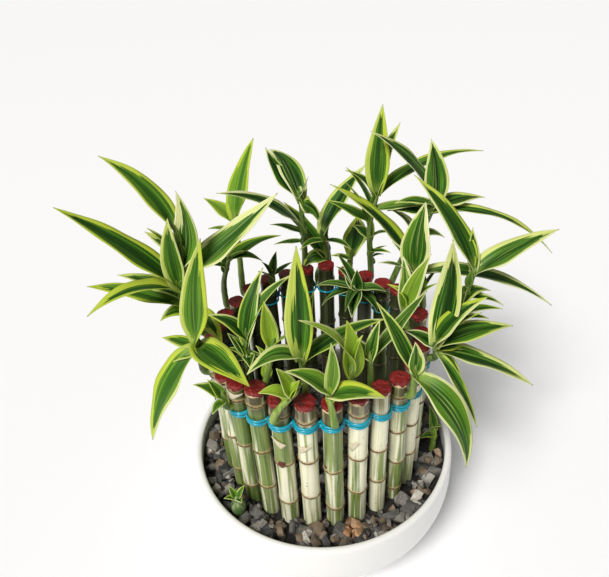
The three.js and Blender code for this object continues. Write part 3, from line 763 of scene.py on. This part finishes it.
# Each shoot: the number of the cane that it grows from, the side of the cane (1 outer, -1 inner), the
# height it leaves the cane, its look (cream share and width of the margins, and youth), the points of
# its stem, and its leaves. Each leaf: height of its foot, bearing and rise of the line from foot to
# tip, length, width, arch above that line, roll about it, and its own cream share where it differs.
SHOOTS = [
    (22, 1, 161, (0.15, 3.4, 0.24), [
        (-80, 16, 164), (-84, 9, 178), (-88, 10, 206), (-84, 15, 230), (-85, 16, 246),
    ], [
        (203, -150, 9, 61, 18, 13, 0), (192, 165, 8, 73, 18, 5, 0), (199, 150, 4, 58, 14, 4, 0, 0.5),
        (206, 170, 40, 93, 20, 6, 0), (206, 75, 88, 53, 15, 2, 10), (212, 20, 34, 86, 23, -2, 22, 0.85),
        (245, 155, 45, 66, 16, 8, 0, 0.3), (228, 150, 26, 31, 11, 0, 0),
        (218, 30, 83, 57, 17, -5, 50, 0.75), (186, -44, -16, 33, 15, 8, 0),
        (188, -150, 8, 20, 11, 4, 0, 0), (224, 170, 56, 32, 8, 2, 0, 0),
    ]),
    (24, 1, 158, (0.12, 3.2, 0.35), [
        (-77.5, -18, 162), (-78, -18, 182),
    ], [
        (178, 150, 0, 30, 11, 2, 0), (176, -165, -10, 18, 9, 2, 0), (180, -140, -49, 69, 25, 7, 0),
        (181, -52, 8, 60, 21, 5, 0), (181, 30, 79, 77, 18, 3, 50),
    ]),
    (19, 1, 161, (0, 2, 0.7), [
        (-55, 64.7, 166), (-54, 65, 198), (-53, 64, 225),
    ], [
        (222, 140, 24, 34, 13, 3, 0), (225, 50, 64, 60, 19, 2, 0), (212, -150, 35, 26, 10, 3, 0),
    ]),
    (20, 1, 159, (0.2, 1.8, 0.1), [
        (-67, 50.5, 163), (-66, 48, 184), (-60, 43, 205),
    ], [
        (203, -10, 9, 26, 10, 6, 0), (205, 25, 12, 43, 14, 4, 0), (198, -170, 20, 24, 9, 3, 0),
    ]),
    (16, 1, 163, (0.6, 2, 0), [
        (-5.5, 85.6, 167), (-5, 81, 190), (-5, 74, 208), (-6, 73, 235),
    ], [
        (196, 175, -3, 24, 6, 2, 0), (205, 165, 15, 27, 7, 3, 0), (206, 205, 39, 80, 14, 9, -20),
        (232, 112, 20, 62, 18, 9, 0), (233, -40, -38, 21, 13, 6, 90), (235, 128, 38, 48, 16, -3, 0),
        (236, -15, 71, 20, 7, 0, 0),
    ]),
    (15, 1, 166, (0.25, 2.2, 0), [
        (12.6, 85, 171), (12, 80, 190), (9, 73, 205),
    ], [
        (172, 140, 46, 60, 17, 3, 0), (176, 150, 80, 27, 8, 0, 0), (205, 42, 40, 62, 19, 4, 0),
        (173, -165, -6, 21, 12, 9, -30, 0.5), (173, -140, -56, 22, 8, 5, 0, 0.7),
        (195, 30, 74, 17, 7, 2, 0), (195, -30, -2, 22, 8, 4, 0), (195, -150, 5, 23, 8, 4, 0),
    ]),
    (14, 1, 163, (0.2, 3, 0.05), [
        (29.9, 80, 167), (31, 78, 181),
    ], [
        (180, 78, 10, 52, 19, 3, 0), (176, -170, 28, 18, 8, 2, 0),
    ]),
    (13, 1, 163, (0.2, 2.6, 0.15), [
        (46, 72, 167), (44, 67, 194), (43, 62, 218), (48, 66, 239),
    ], [
        (190, -30, 15, 17, 6, 2, 0), (218, 160, 26, 36, 11, 2, 0), (236, 20, 12, 90, 15, 10, 0),
        (236, 160, 42, 30, 11, 4, 0), (238, 40, 65, 52, 14, 2, 0), (239, 72, 77, 61, 17, 2, 0),
        (184, 0, 42, 16, 4, 3, 0, 0), (180, -15, 40, 13, 4, 3, 0, 0), (202, -150, 68, 58, 10, 5, 0),
        (202, 120, 8, 23, 8, 3, 0), (202, -30, 34, 20, 7, 3, 0, 0.5), (226, 150, 58, 38, 9, 3, 0),
        (226, 0, 5, 37, 12, 4, 0),
    ]),
    (13, -1, 162, (0.75, 0.9, 0), [
        (34.5, 55, 166), (31.5, 43, 172),
    ], [
        (172, 165, 5, 31, 11, 4, 0), (171, -105, -12, 26, 11, 4, 0), (172, -10, 3, 22, 10, 4, 0),
        (172, 130, 47, 20, 9, 1, 0), (171, 150, 47, 25, 8, 3, 0), (171, 140, 57, 33, 8, 2, 0),
        (170, 180, -24, 30, 8, 6, 0), (171, 0, -12, 16, 8, 5, 0, 0.1), (168, -45, -35, 23, 8, 5, 0),
        (171, 0, -19, 31, 7, 5, 0, 0.1), (171, 90, 86, 19, 9, 2, 0, 0.4),
        (171, 105, 33, 25, 8, 2, 0, 0.4), (168, -110, 12, 40, 7, 5, 0),
    ]),
    (12, 1, 161, (0.3, 3, 0), [
        (60, 60, 166), (70, 60, 194), (81, 55, 218), (86, 52, 237),
    ], [
        (226, 160, 2, 30, 15, 3, 0), (228, -15, -16, 88, 15, 13, 0), (232, 10, 5, 39, 15, 3, 0),
        (234, 172, 5, 27, 10, 4, 0), (235, 165, 49, 68, 22, 6, 0), (237, 100, 70, 43, 17, 2, 0),
        (206, 150, 44, 30, 12, 4, 0, 0.6), (204, 0, 3, 23, 11, 5, 0),
    ]),
    (11, 1, 165, (0.05, 3.6, 0.05), [
        (70.6, 45, 169), (72, 44, 190),
    ], [
        (189, 165, 47, 87, 19, 8, 0),
    ]),
    (10, 1, 163, (0.7, 2.8, 0.15), [
        (78, 28.5, 167), (76, 28, 182), (70.5, 27, 197),
    ], [
        (195, -20, -6, 90, 18, 12, 0), (197, 60, 78, 51, 21, 3, 0), (179, 0, 64, 25, 5, 1, 0, 0),
        (188, 150, 53, 36, 12, 3, 0, 0.8), (188, -150, 40, 49, 10, 4, 0, 0.5),
    ]),
    (9, -1, 163, (0.8, 2.6, 0.6), [
        (63, 9.5, 167), (60, 9, 178),
    ], [
        (177, 95, 75, 41, 12, 3, 0, 0.9), (176, 20, 68, 47, 12, 4, 45),
        (175, 150, 58, 26, 8, 9, -20, 0.1), (174, 10, 47, 32, 7, 5, 0, 0),
    ]),
    (8, 1, 161, (0.4, 2.8, 0.2), [
        (80, -7.6, 165), (86, -11, 180), (94, -9, 200), (100, -3, 214),
    ], [
        (186, 15, 72, 24, 11, 0, 0), (187, 20, 26, 29, 15, 11, 0, 0), (200, -12, -8, 25, 9, 3, 0),
        (213, 5, 29, 58, 19, 4, 0), (214, 140, 51, 73, 18, 7, 0), (214, 95, 70, 30, 8, 0, 0),
        (186, -15, 21, 31, 9, 4, 0, 0), (183, -30, 25, 25, 7, 3, 0, 0),
    ]),
    (7, 1, 164, (0.45, 3.6, 0.15), [
        (75, -26, 168), (72, -32, 181),
    ], [
        (175, -52, -47, 55, 9, 5, 0), (173, -18, -14, 63, 19, 4, 0), (179, 5, 13, 50, 18, 4, 0),
        (180, 55, 83, 74, 18, -7, 0), (177, 165, 32, 24, 9, 3, -20, 0.9), (174, 15, -4, 21, 11, 3, 0, 0),
        (172, -30, -43, 25, 8, 3, 0, 0), (179, 0, 54, 47, 14, 6, 20, 0.2),
        (179, 0, 46, 37, 10, 5, 0, 0.2),
    ]),
    (5, 1, 161, (0.5, 2.4, 0.25), [
        (54.7, -54.7, 165), (55.5, -52, 179),
    ], [
        (178, 100, 84, 24, 10, 0, 0), (178, 132, 52, 50, 11, 3, 0), (177, -52, -45, 62, 21, 13, 0, 0.6),
    ]),
    (4, -1, 163, (0.5, 1.8, 0.15), [
        (30.3, -48.3, 168), (29, -50, 190),
    ], [
        (189, 150, 40, 22, 10, 2, 0), (190, 50, 8, 69, 9, 3, 0), (188, 56, 64, 27, 8, 2, 0),
    ]),
    (3, -1, 164, (0.5, 2, 0.8), [
        (17.6, -53.3, 168), (17, -55, 182), (17, -59, 192),
    ], [
        (190, -177, 55.5, 50, 13, 7, 0), (182, 120, 85, 41, 14, 2, 0, 0), (184, 15, 76, 30, 10, 3, 0, 0),
    ]),
    (2, 1, 163, (0.25, 3, 0.55), [
        (5.5, -75.6, 167), (3, -71, 184),
    ], [
        (183, -25, 20, 35, 15, 5, 0), (184, 176, 40, 31, 15, 5, 0), (184, 60, 83, 37, 9, -2, 0),
    ]),
    (1, -1, 164, (0.25, 3.2, 0.15), [
        (-9.5, -55.3, 169), (-11.5, -54, 197),
    ], [
        (196, -155, 10, 34, 14, 9, 0), (196, 50, 71, 44, 9, 0, 0), (197, 84, 79, 70, 16, 2, 0),
        (194, 24, 11, 58, 14, 5, 0),
    ]),
    (28, 1, 163, (0.1, 2, 1), [
        (-29.9, -70, 167), (-26, -71, 176), (-18.5, -69, 183),
    ], [
        (182, -172, 27, 19, 10, 4, 0), (183, 150, 68, 21, 13, 1, 0), (183, 5, 66, 14, 8, 0, 0),
        (182, 15, 48, 13, 10, 3, 0),
    ]),
    (27, -1, 165, (0.1, 2.4, 0.7), [
        (-34.8, -45.4, 170), (-28, -45, 200),
    ], [
        (198, -20, 50, 19, 9, 1, 0), (200, 110, 76, 30, 11, 0, 0), (184, 135, 55, 16, 5, 3, 0),
        (180, 60, 54, 17, 5, 2, 0),
    ]),
    (26, -1, 162, (0.4, 1.8, 0.15), [
        (-45.3, -36.5, 167), (-44, -32, 197),
    ], [
        (181, -150, 15, 15, 8, 3, 0), (183, 140, 40, 20, 8, 2, 0), (183, -80, 20, 16, 8, 3, 0),
        (194, 170, 43, 30, 12, 5, 0), (192, 30, 47, 53, 9, 9, 10), (192, 60, 58, 49, 12, 6, 0),
        (180, 165, 38, 16, 6, 4, 0), (177, 150, 67, 23, 5, 3, 0), (178, 0, 35, 12, 7, 6, 0),
        (186, -60, -56, 8, 6, 5, 0, 0.8),
    ]),
    (26, 1, 156, (0.3, 1.6, 0.4), [
        (-60, -50, 159), (-60.5, -50, 165),
    ], [
        (164, 175, 38, 22, 10, 3, 0), (164, 150, 52, 17, 8, 2, 0), (162, -120, 10, 13, 7, 2, 0),
    ]),
    (18, -1, 163, (0.5, 1.3, 0.05), [
        (-30.5, 58.7, 168), (-31, 61, 178),
    ], [
        (176, -160, 45, 15, 7, 1, 0), (178, 60, 64, 20, 7, 0, 0), (178, 15, 31, 19, 6, 1, 0),
        (175, 165, 67, 18, 6, 2, 0),
    ]),
]


# Striped leaf: a dark middle, brighter lines beside it, and a ragged margin of lime or cream
leaf_group, given, handed = effect_group(
    "striped_leaf",
    {"Where": "Vector", "Look": "Color", "Youth": "Float", "Paleness": "Float"},
    {"Colour": "Color", "Ribs": "Float", "Mottle": "Float"},
)
ways = parted(given["Where"])
looks = put(leaf_group, "SeparateColor", Color=given["Look"]).outputs
lengthwise = put(leaf_group, "CombineXYZ", X=ways["X"], Y=ways["Z"], Z=ways["Y"]).outputs[0]
bands = grained(lengthwise, 4, 1.0, 2)
lines = grained(lengthwise, 8, 1.0, 3)
ribs = grained(lengthwise, 17, 1.2, 3)
from_edge = times(looks["Red"], WIDEST_MARGIN)
margin = times(looks["Blue"], WIDEST_MARGIN)
off_middle = maths("ABSOLUTE", ways["X"])
centre = plus(off_middle, scaled(lines, 2.2, -1.1))
old_green = blended(rising(centre, 0.25, 0.6), DARK_GREEN, MIDDLE_GREEN)
new_green = blended(rising(centre, 0.2, 0.6), (0.06, 0.20, 0.018), YOUNG_GREEN)
green = blended(given["Youth"], old_green, new_green)
newest = blended(lines, YOUNG_GREEN, LIME)
green = tinted(green, newest, rising(given["Youth"], 0.55, 0.95), 0.8)
stripes = times(rising(ribs, 0.52, 0.58), rising(off_middle, 0.0, 0.4))
green = tinted(green, BRIGHT_GREEN, stripes, 0.65)
margin_colour = blended(looks["Green"], LIME, CREAM)
shaded = blended(rising(ribs, 0.42, 0.62), margin_colour, BRIGHT_GREEN)
margin_colour = blended(0.3, margin_colour, shaded)
inner_edge = times(margin, scaled(bands, 2.4, -0.35))
edge_share = falling(less(from_edge, inner_edge), -0.06, 0.09)
edge_share = times(edge_share, rising(margin, 0.05, 0.35))
skin = blended(edge_share, green, margin_colour)
thin_lines = times(rising(lines, 0.6, 0.64), looks["Green"])
skin = tinted(skin, margin_colour, thin_lines, 0.4)
uneven_edge = plus(from_edge, scaled(lines, 0.5, -0.25))
rim_share = falling(less(uneven_edge, times(margin, 0.14)), -0.1, 0.15)
rim_strength = times(looks["Green"], rising(margin, 0.1, 0.8))
skin = tinted(skin, RIM_CREAM, rim_share, rim_strength)
skin = tinted(skin, (0.30, 0.42, 0.07), falling(ways["Y"], 0.02, 0.2), 0.55)
skin = tinted(skin, (0.20, 0.13, 0.04), rising(ways["Y"], 0.975, 1.0), 0.7)
skin = tinted(skin, (0.20, 0.30, 0.08), given["Paleness"], 0.5)
set_inputs(handed, {"Colour": skin, "Ribs": ribs, "Mottle": lines})


def blade_finish(name, paleness, dullness):
    """A leaf's skin: the upper side is glossy, the underside paler and duller."""
    material, shader, place = new_material(name, Specular_IOR_Level=0.15)
    where = carried(material, "blade_place")["Vector"]
    look = carried(material, "blade_look")
    skin = applied(leaf_group, Where=where, Look=look["Color"], Youth=look["Alpha"], Paleness=paleness)
    roughness = scaled(skin["Mottle"], 0.2, dullness)
    finished(shader, skin["Colour"], bumped(skin["Ribs"], 0.0005, 0.55), roughness)
    return material


blade_upper = blade_finish("leaf_upper_side", 0.0, 0.28)
blade_under = blade_finish("leaf_underside", 0.5, 0.45)

stem_skin, shader, place = new_material("shoot_stem")
patchy = grained(place, 380, 40, 3)
pale_share = rising(patchy, 0.35, 0.7)
youth = carried(stem_skin, "blade_look")["Alpha"]
old = blended(pale_share, (0.035, 0.085, 0.014), (0.12, 0.20, 0.035))
young = blended(pale_share, (0.13, 0.24, 0.03), (0.36, 0.44, 0.09))
skin = blended(youth, old, young)
skin = tinted(skin, (0.20, 0.12, 0.04), flecked(place, 260, 0.58, 0.7), 0.4)
finished(shader, skin, bumped(patchy, 0.0004, 0.4), 0.45)


def smooth(value):
    """Eases from 0 to 1, and holds at the ends."""
    held = min(max(value, 0), 1)
    return held * held * (3 - 2 * held)


def half_width(t, width):
    """Half of a leaf's width at a share t of its length."""
    if t <= BLADE_WIDEST:
        share = BLADE_FOOT_SHARE + (1 - BLADE_FOOT_SHARE) * math.sin(math.pi / 2 * t / BLADE_WIDEST)
        return width / 2 * share
    along = (t - BLADE_WIDEST) / (1 - BLADE_WIDEST)
    return max(width / 2 * (1 - along**1.5), 0.12)


def marking_layers(bm):
    """What the mesh tells the leaf's finish: the place on the blade and its look."""
    layers = bm.verts.layers
    return layers.float_vector.new("blade_place"), layers.float_color.new("blade_look")


def blade(bm, layers, foot, form, look, seed):
    """One leaf: a flat grid, folded along its middle, arched and drawn out to a point."""
    bearing, rise, length, width, arch, roll = form
    turn, tilt = math.radians(bearing), math.radians(rise)
    flat = level_way(turn)
    line = flat * math.cos(tilt) + Vector((0, 0, math.sin(tilt)))
    upper = -flat * math.sin(tilt) + Vector((0, 0, math.cos(tilt)))
    grid = bmesh.ops.create_grid(bm, x_segments=BLADE_COLUMNS, y_segments=BLADE_STEPS, size=0.5)["verts"]
    cream, margin, young = look
    uneven = random.Random(int(seed * 9999))
    sway = uneven.uniform(-1, 1) * min(0.035 * length, 2.2)
    twist = uneven.uniform(-9, 9)
    margins = uneven.uniform(0.5, 1.35), uneven.uniform(0.5, 1.35)
    creams = uneven.uniform(-0.35, 0.35), uneven.uniform(-0.35, 0.35)
    for corner in grid:
        s, t = corner.co.x * 2, corner.co.y + 0.5
        bow = 4 * t * (1 - t)
        middle = foot + line * (length * t) + upper * (arch * bow)
        along = (line * length + upper * (arch * (4 - 8 * t))).normalized()
        side = line.cross(upper)
        middle += side * (sway * bow)
        side.rotate(Quaternion(along, math.radians(roll * smooth(t / 0.4) + twist * bow)))
        face = side.cross(along)
        half = half_width(t, width)
        fold = (BLADE_FOOT_FOLD + (BLADE_FOLD - BLADE_FOOT_FOLD) * smooth(t / 0.4)) * half
        wave = math.sin(t * length / 5.5 + seed * 9) * smooth(t / 0.3) * (1 if s > 0 else -0.7)
        lift = fold * abs(s) ** 1.2 + 0.075 * half * wave * abs(s) ** 3
        corner.co = (middle + side * (s * half) + face * lift) * MM
        corner[layers[0]] = Vector((s, t, seed))
        from_edge = (1 - abs(s)) * half
        pale = min(max(cream + creams[s > 0], 0), 1)
        border = margin * margins[s > 0]
        corner[layers[1]] = (from_edge / WIDEST_MARGIN, pale, border / WIDEST_MARGIN, young)
    faces = faces_of(grid)
    bmesh.ops.recalc_face_normals(bm, faces=faces)
    thickened(bm, faces, BLADE_THICKNESS, 1)


def smooth_path(points, steps):
    """A rounded line through the points of a stem."""
    ends = [points[0] * 2 - points[1], *points, points[-1] * 2 - points[-2]]
    path = []
    for a, b, c, d in zip(ends, ends[1:], ends[2:], ends[3:]):
        for step in range(steps):
            t = step / steps
            bend = (a * 2 - b * 5 + c * 4 - d) * t**2 + (b * 3 - a - c * 3 + d) * t**3
            path.append((b * 2 + (c - a) * t + bend) / 2)
    return [*path, points[-1]]


def swept_stem(bm, path, radii, finish):
    """A round stem: a circle extruded from point to point along the path and closed at its ends."""
    ways = [(after - before).normalized() for before, after in zip(path, path[1:])]
    ways.append(ways[-1])
    turn = Vector((0, 0, 1)).rotation_difference(ways[0])
    frames = []
    for index, (point, way, radius) in enumerate(zip(path, ways, radii)):
        if index:
            turn = ways[index - 1].rotation_difference(way) @ turn
        frames.append(Matrix.LocRotScale(point * MM, turn, Vector((1, 1, 1)) * radius * MM))
    circle = bmesh.ops.create_circle(bm, cap_ends=True, segments=STEM_SIDES, radius=1, matrix=frames[0])
    ring = circle["verts"]
    faces = set(faces_of(ring))
    edges = list({edge for corner in ring for edge in corner.link_edges})
    for before, after in zip(frames, frames[1:]):
        grown = bmesh.ops.extrude_edge_only(bm, edges=edges)["geom"]
        ring = [part for part in grown if isinstance(part, bmesh.types.BMVert)]
        edges = [part for part in grown if isinstance(part, bmesh.types.BMEdge)]
        edges = [edge for edge in edges if all(corner in ring for corner in edge.verts)]
        bmesh.ops.transform(bm, matrix=after @ before.inverted(), verts=ring)
        faces.update(faces_of(ring))
    faces.update(bmesh.ops.contextual_create(bm, geom=edges)["faces"])
    bmesh.ops.recalc_face_normals(bm, faces=list(faces))
    given_finish(faces, finish)
    return faces


def on_stem(path, height):
    """The point of a stem at a given height."""
    for before, after in zip(path[1:], path[2:]):
        if after.z >= height:
            share = max(height - before.z, 0) / max(after.z - before.z, 1e-6)
            return before.lerp(after, min(share, 1))
    return path[-1].copy()


def leafy_shoot(bm, path, leaves, look, seed, foot_radius=STEM_FOOT_RADIUS):
    """A stem with its leaf scars and its bud, and the leaves that grow from it."""
    layers = marking_layers(bm)
    draw = random.Random(seed)
    for height, *form in leaves:
        cream = form.pop() if len(form) > 6 else look[0]
        margin = look[1] * draw.uniform(0.85, 1.2) * min(1, (form[3] / FULL_LEAF_WIDTH) ** 1.3)
        young = min(max(look[2] + draw.uniform(-0.15, 0.15), 0), 1)
        blade(bm, layers, on_stem(path, height), form, (cream, margin, young), draw.random())
    lengths = [0.0]
    for before, after in zip(path, path[1:]):
        lengths.append(lengths[-1] + (after - before).length)
    radii = []
    for far in lengths:
        radius = foot_radius + (STEM_CROWN_RADIUS - foot_radius) * far / lengths[-1]
        scar = SCAR_SWELL * max(0, 1 - abs((far + 3) % SCAR_SPACING - SCAR_SPACING / 2) / 0.7)
        radii.append(radius + scar)
    bud_way = (path[-1] - path[-2]).normalized()
    tip = [path[-1] + bud_way * BUD_LENGTH * share for share in (0.3, 0.6, 0.85, 1)]
    tip_radii = [STEM_CROWN_RADIUS * share for share in (0.95, 0.7, 0.35, 0.06)]
    for face in swept_stem(bm, path + tip, radii + tip_radii, 2):
        for corner in face.verts:
            corner[layers[1]] = (0, 0, 0, min(look[2] * 1.2 + 0.1, 1))
    low, high = min(leaf[0] for leaf in leaves) - 3, path[-1].z
    count = math.ceil((high - low) / SHEATH_SPACING)
    turn = draw.uniform(-180, 180)
    for number in range(count):
        foot = on_stem(path, low + (high - low) * number / count)
        rise, length, width = draw.uniform(80, 86), draw.uniform(10, 14), draw.uniform(5.5, 7)
        form = turn + 165 * number, rise, length, width, 0.6, 0
        blade(bm, layers, foot, form, (0.3, 0, min(look[2] + 0.35, 1)), draw.random())


for index, (number, side, foot, look, stem, leaves) in enumerate(SHOOTS):
    bearing, outward, axis = cane_place(number - 1)
    radius = CANES[number - 1][1]
    seat = axis + outward * side * (radius - 1.2)
    seat.z = foot
    knee = axis + outward * side * (radius + 1.6)
    knee.z = foot + 0.6
    path = smooth_path([seat, knee] + [Vector(point) for point in stem], 9)
    plant = bmesh.new()
    leafy_shoot(plant, path, leaves, look, 300 + index)
    node = f"shoot_{number:02d}_{'outer' if side > 0 else 'inner'}"
    fitted(f"leafy_{node}", plant, [blade_upper, blade_under, stem_skin], node)


# Young plants. Two that stand in the gravel by themselves: a pear-shaped green bud with a tuft of
# small leaves on top, and a short leafy sprout close to the rim.
BED_TOP = 60.5
PLANT_FOOT = 54.8
BUD_HEIGHT = 77
SPROUT_HEIGHT = 76

bud_skin, shader, place = new_material("bud_skin", Coat_Weight=0.2)
ribs = grained(place, 420, 60, 3)
green = blended(rising(ribs, 0.35, 0.7), (0.06, 0.13, 0.035), (0.30, 0.38, 0.17))
finished(shader, green, bumped(ribs, 0.0005, 0.6), 0.4)

x, y = YOUNG_PLANTS[0]
bud = bmesh.new()
layers = marking_layers(bud)
profile = [(0, PLANT_FOOT), (3.1, PLANT_FOOT), (3.5, 57), (4.6, 60.5), (5.2, 64), (5.1, 66.5)]
profile += [(4.2, 69.5), (3.1, 71.8), (2.7, 73), (2.2, 74.4), (1.2, 76), (0, BUD_HEIGHT)]
spun(bud, profile, 24)
for corner in bud.verts:
    turn = math.atan2(corner.co.y, corner.co.x)
    corner.co.xy *= 1 + 0.05 * math.sin(5 * turn)
bmesh.ops.translate(bud, verts=bud.verts[:], vec=Vector((x, y, 0)) * MM)
given_finish(bud.faces, 2)
crown = Vector((x, y, BUD_HEIGHT - 4))
for number, bearing in enumerate([-160, -60, 50, 130]):
    blade(bud, layers, crown, (bearing, 38, 11, 5, 1, 0), (0.4, 0.5, 0.35), 0.2 * number)
fitted("pear_shaped_bud", bud, [blade_upper, blade_under, bud_skin], "bud_in_gravel")

x, y = YOUNG_PLANTS[1]
stem = [Vector((x, y, PLANT_FOOT)), Vector((x, y, BED_TOP + 4)), Vector((x - 1, y + 1, SPROUT_HEIGHT))]
sprout_leaves = [(70, -150, 30, 16, 7, 2, 0), (73, 95, 55, 22, 7, 2, 0), (75, -70, 60, 18, 7, 2, 0)]
sprout = bmesh.new()
leafy_shoot(sprout, smooth_path(stem, 8), sprout_leaves, (0.3, 1.0, 0.5), 77, 2.6)
fitted("gravel_sprout", sprout, [blade_upper, blade_under, stem_skin], "sprout_in_gravel")


# Studio. A plain pale floor, soft daylight from all round, and one broad lamp high in front and to
# the left of the bowl.
DAYLIGHT = 0.27
LAMP_STRENGTH = 3.3
LAMP_SPREAD = 22
LAMP_WAY = (0.38, 0.50, -0.78)

paper = new_material("pale_floor", Base_Color=(0.9, 0.9, 0.91), Roughness=0.8)[0]
ground = bmesh.new()
bmesh.ops.create_grid(ground, x_segments=1, y_segments=1, size=8)
sheet = meshed(ground, "pale_floor", smooth=False)
sheet.materials.append(paper)
floor = bpy.data.objects.new("pale_floor", sheet)
bpy.context.collection.objects.link(floor)
floor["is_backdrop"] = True

lamp = bpy.data.lights.new("broad_lamp", "SUN")
lamp.energy = LAMP_STRENGTH
lamp.angle = math.radians(LAMP_SPREAD)
lamp.color = (1, 0.985, 0.96)
broad_lamp = bpy.data.objects.new("broad_lamp", lamp)
broad_lamp.rotation_euler = Vector(LAMP_WAY).to_track_quat("-Z", "Y").to_euler()
bpy.context.collection.objects.link(broad_lamp)

sky = bpy.data.worlds.new("studio")
sky.use_nodes = True
set_inputs(sky.node_tree.nodes["Background"], {"Color": (1, 1, 1), "Strength": DAYLIGHT})
bpy.context.scene.world = sky
bpy.context.scene.view_settings.view_transform = "Standard"

sizes = [[list(corner) for corner in box] for box in (cad_box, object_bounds())]
